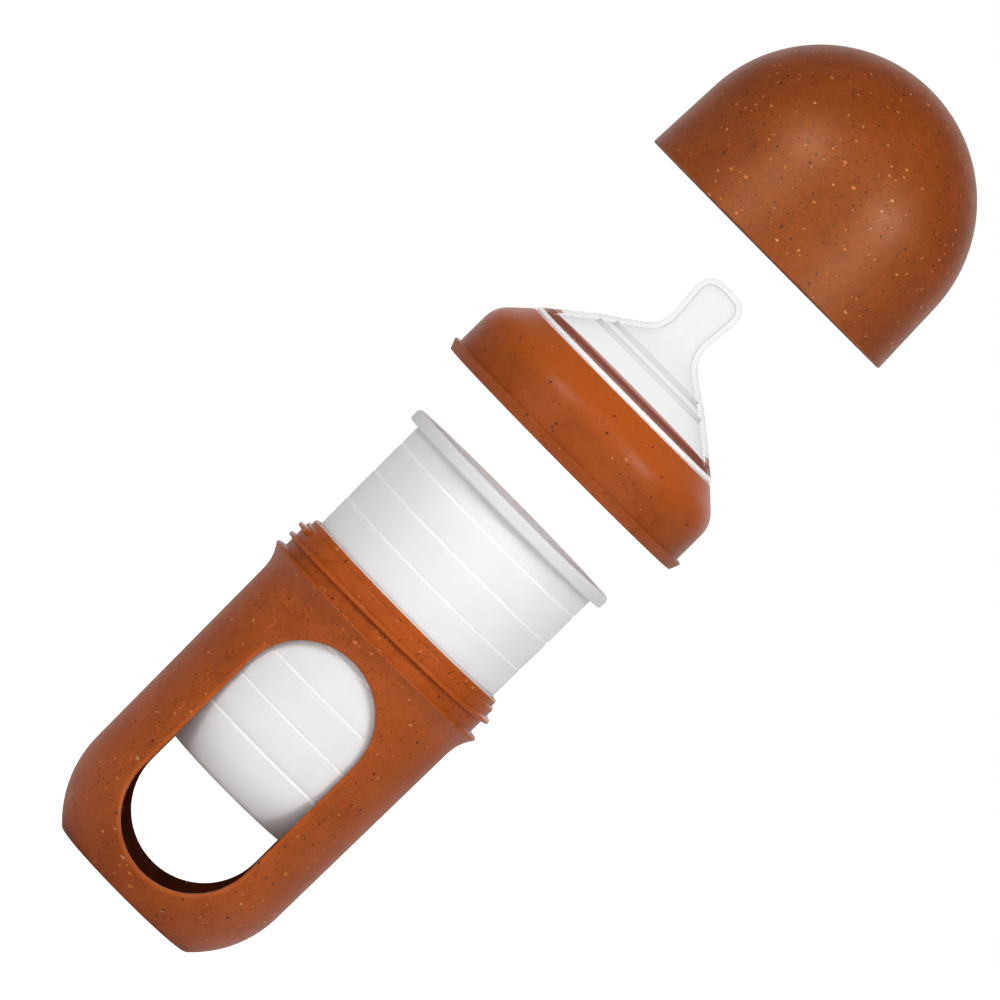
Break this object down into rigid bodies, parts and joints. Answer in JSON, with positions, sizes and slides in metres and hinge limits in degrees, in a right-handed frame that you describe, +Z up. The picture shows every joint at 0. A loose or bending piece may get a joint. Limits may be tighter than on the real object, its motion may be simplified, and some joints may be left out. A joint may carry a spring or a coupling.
{
  "type": "baby bottle",
  "caption": "Baby bottle with a windowed rigid shell, a soft silicone pouch that lifts out, a nipple held in a screw collar, and a dome cap, all standing apart on one axis.",
  "frame": {"origin": "centre of the shell's foot, on the surface that the bottle stands on", "axes": "+Z up the bottle's axis from foot to cap; the shell's two windows face -Y and +Y"},
  "size_m": [0.083, 0.083, 0.2954],
  "materials": {
    "shell_plastic": "satin moulded plastic, terracotta with fine dark and pale flecks",
    "pouch_silicone": "frosted translucent white silicone",
    "nipple_silicone": "clear smooth silicone",
    "collar_plastic": "satin moulded plastic, terracotta with fine dark and pale flecks",
    "cap_plastic": "satin moulded plastic, terracotta with fine dark and pale flecks"
  },
  "bodies": {
    "shell": {"bottle_shell": "shell_plastic"},
    "pouch": {"silicone_pouch": "pouch_silicone"},
    "nipple": {"nipple": "nipple_silicone"},
    "collar": {"screw_collar": "collar_plastic"},
    "cap": {"dome_cap": "cap_plastic"}
  },
  "joints": [
    {"name": "pouch_lift", "type": "slide", "parent": "shell", "child": "pouch", "axis": [0, 0, 1], "range_m": [-0.0358, 0.066]},
    {"name": "nipple_lift", "type": "slide", "parent": "pouch", "child": "nipple", "axis": [0, 0, 1], "range_m": [-0.0327, 0]},
    {"name": "collar_turn", "type": "hinge", "parent": "nipple", "child": "collar", "pos_m": [0, 0, 0.16], "axis": [0, 0, 1], "range_deg": [0, 486]},
    {"name": "cap_lift", "type": "slide", "parent": "collar", "child": "cap", "axis": [0, 0, 1], "range_m": [-0.072, 0]}
  ]
}
